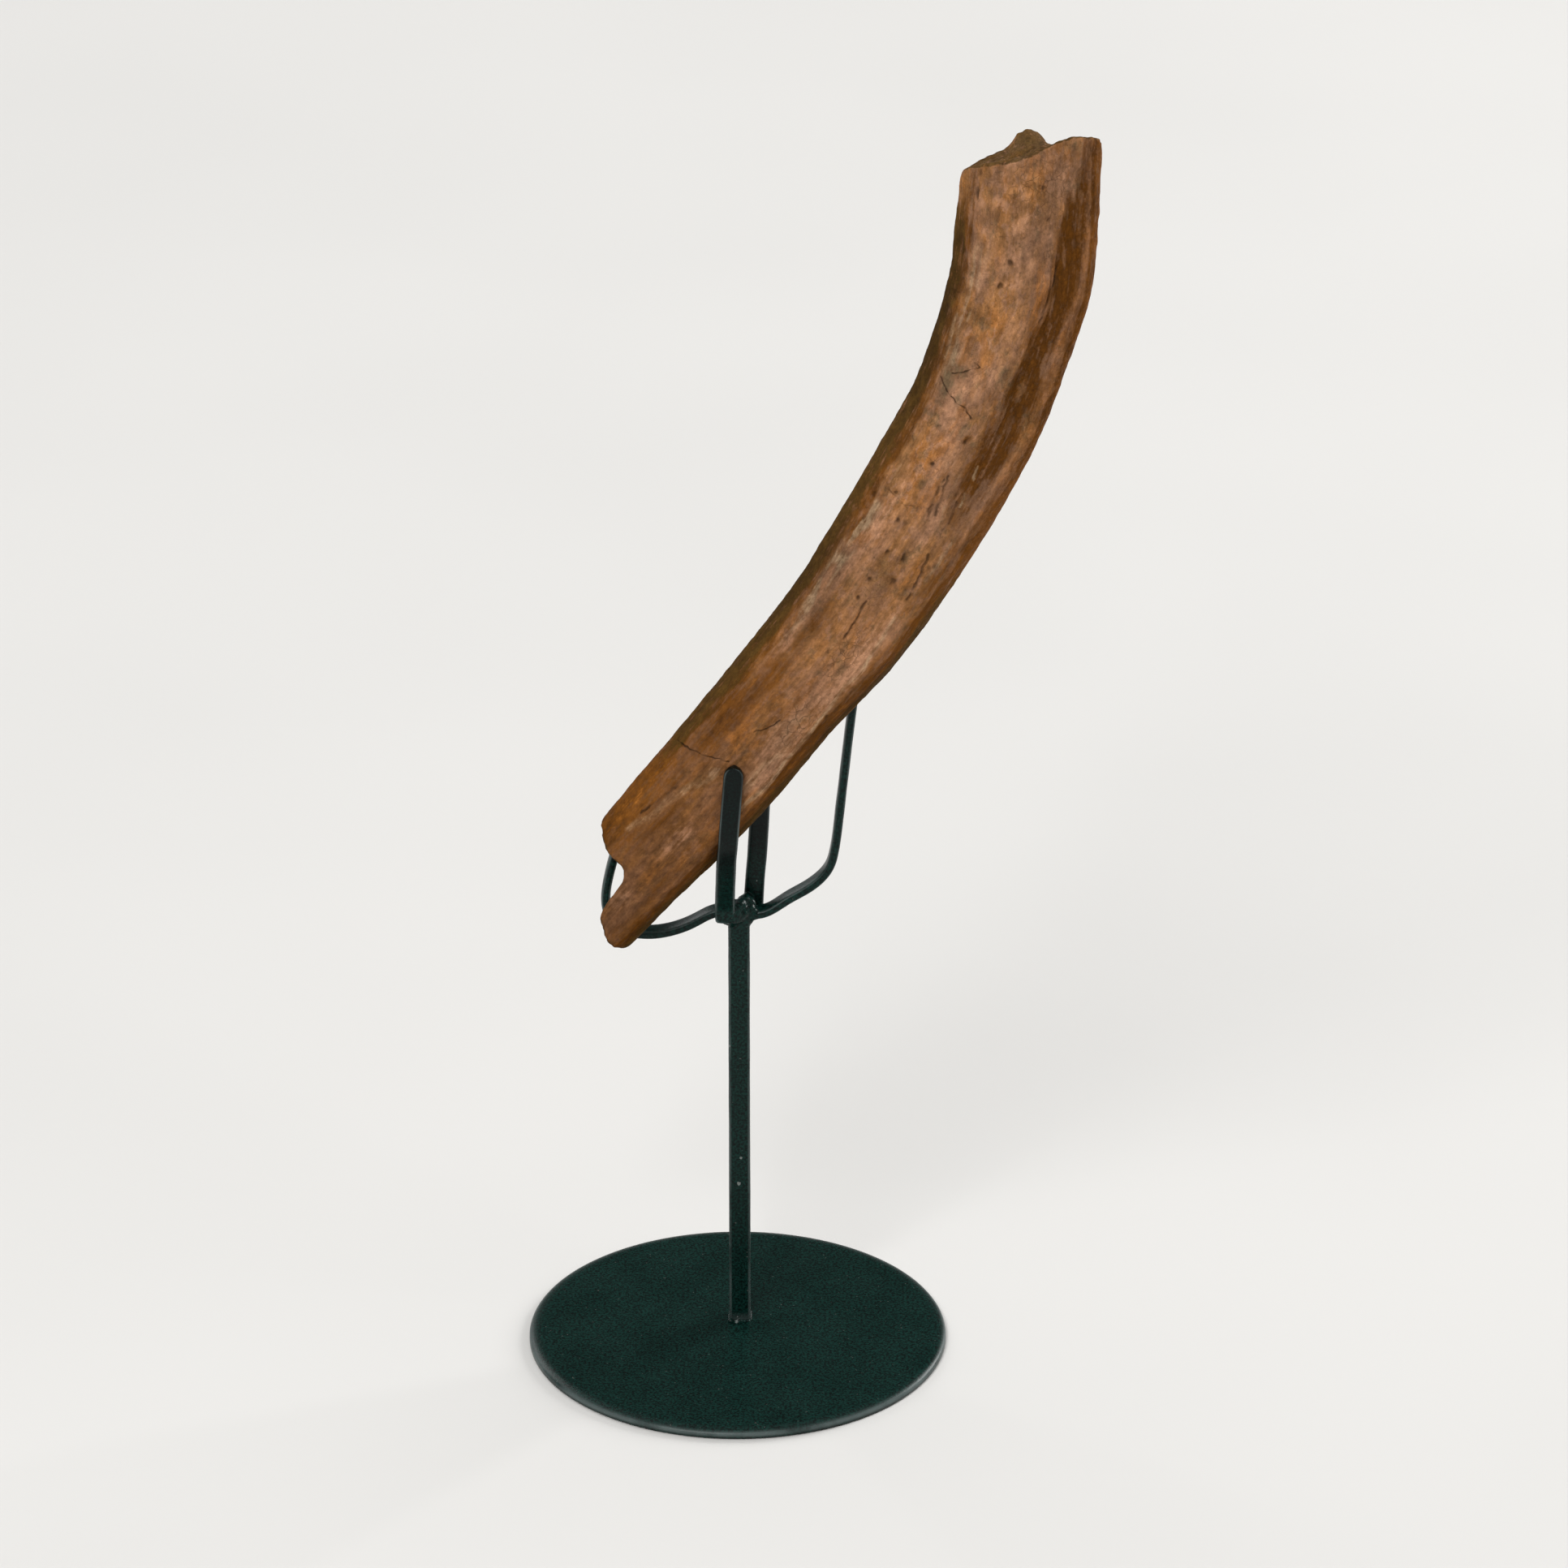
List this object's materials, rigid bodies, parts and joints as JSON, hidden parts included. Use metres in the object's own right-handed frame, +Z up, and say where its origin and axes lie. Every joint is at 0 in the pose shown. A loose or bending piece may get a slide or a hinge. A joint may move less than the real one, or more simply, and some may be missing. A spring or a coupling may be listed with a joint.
{
  "type": "fossil dinosaur rib on a display stand",
  "caption": "Broken length of a fossil dinosaur rib held upright by the bent prongs of a painted steel stand with a round base.",
  "frame": {"origin": "centre of the base plate's underside, on the surface the stand rests on", "axes": "+Z up; +X to the right of the rib's broad front face, the way its upper end leans; +Y away behind the rib, the post's side"},
  "size_m": [0.1343, 0.1016, 0.3173],
  "materials": {
    "fossil_bone": "mineralised bone, matte, mottled tan, orange and pink-brown with a fine grain along the shaft",
    "stand_paint": "satin black paint with a faint green-grey cast"
  },
  "bodies": {
    "root": {"rib": "fossil_bone", "base_plate": "stand_paint", "post": "stand_paint", "prong_front": "stand_paint", "prong_back": "stand_paint", "prong_left": "stand_paint", "prong_right": "stand_paint"}
  },
  "joints": []
}
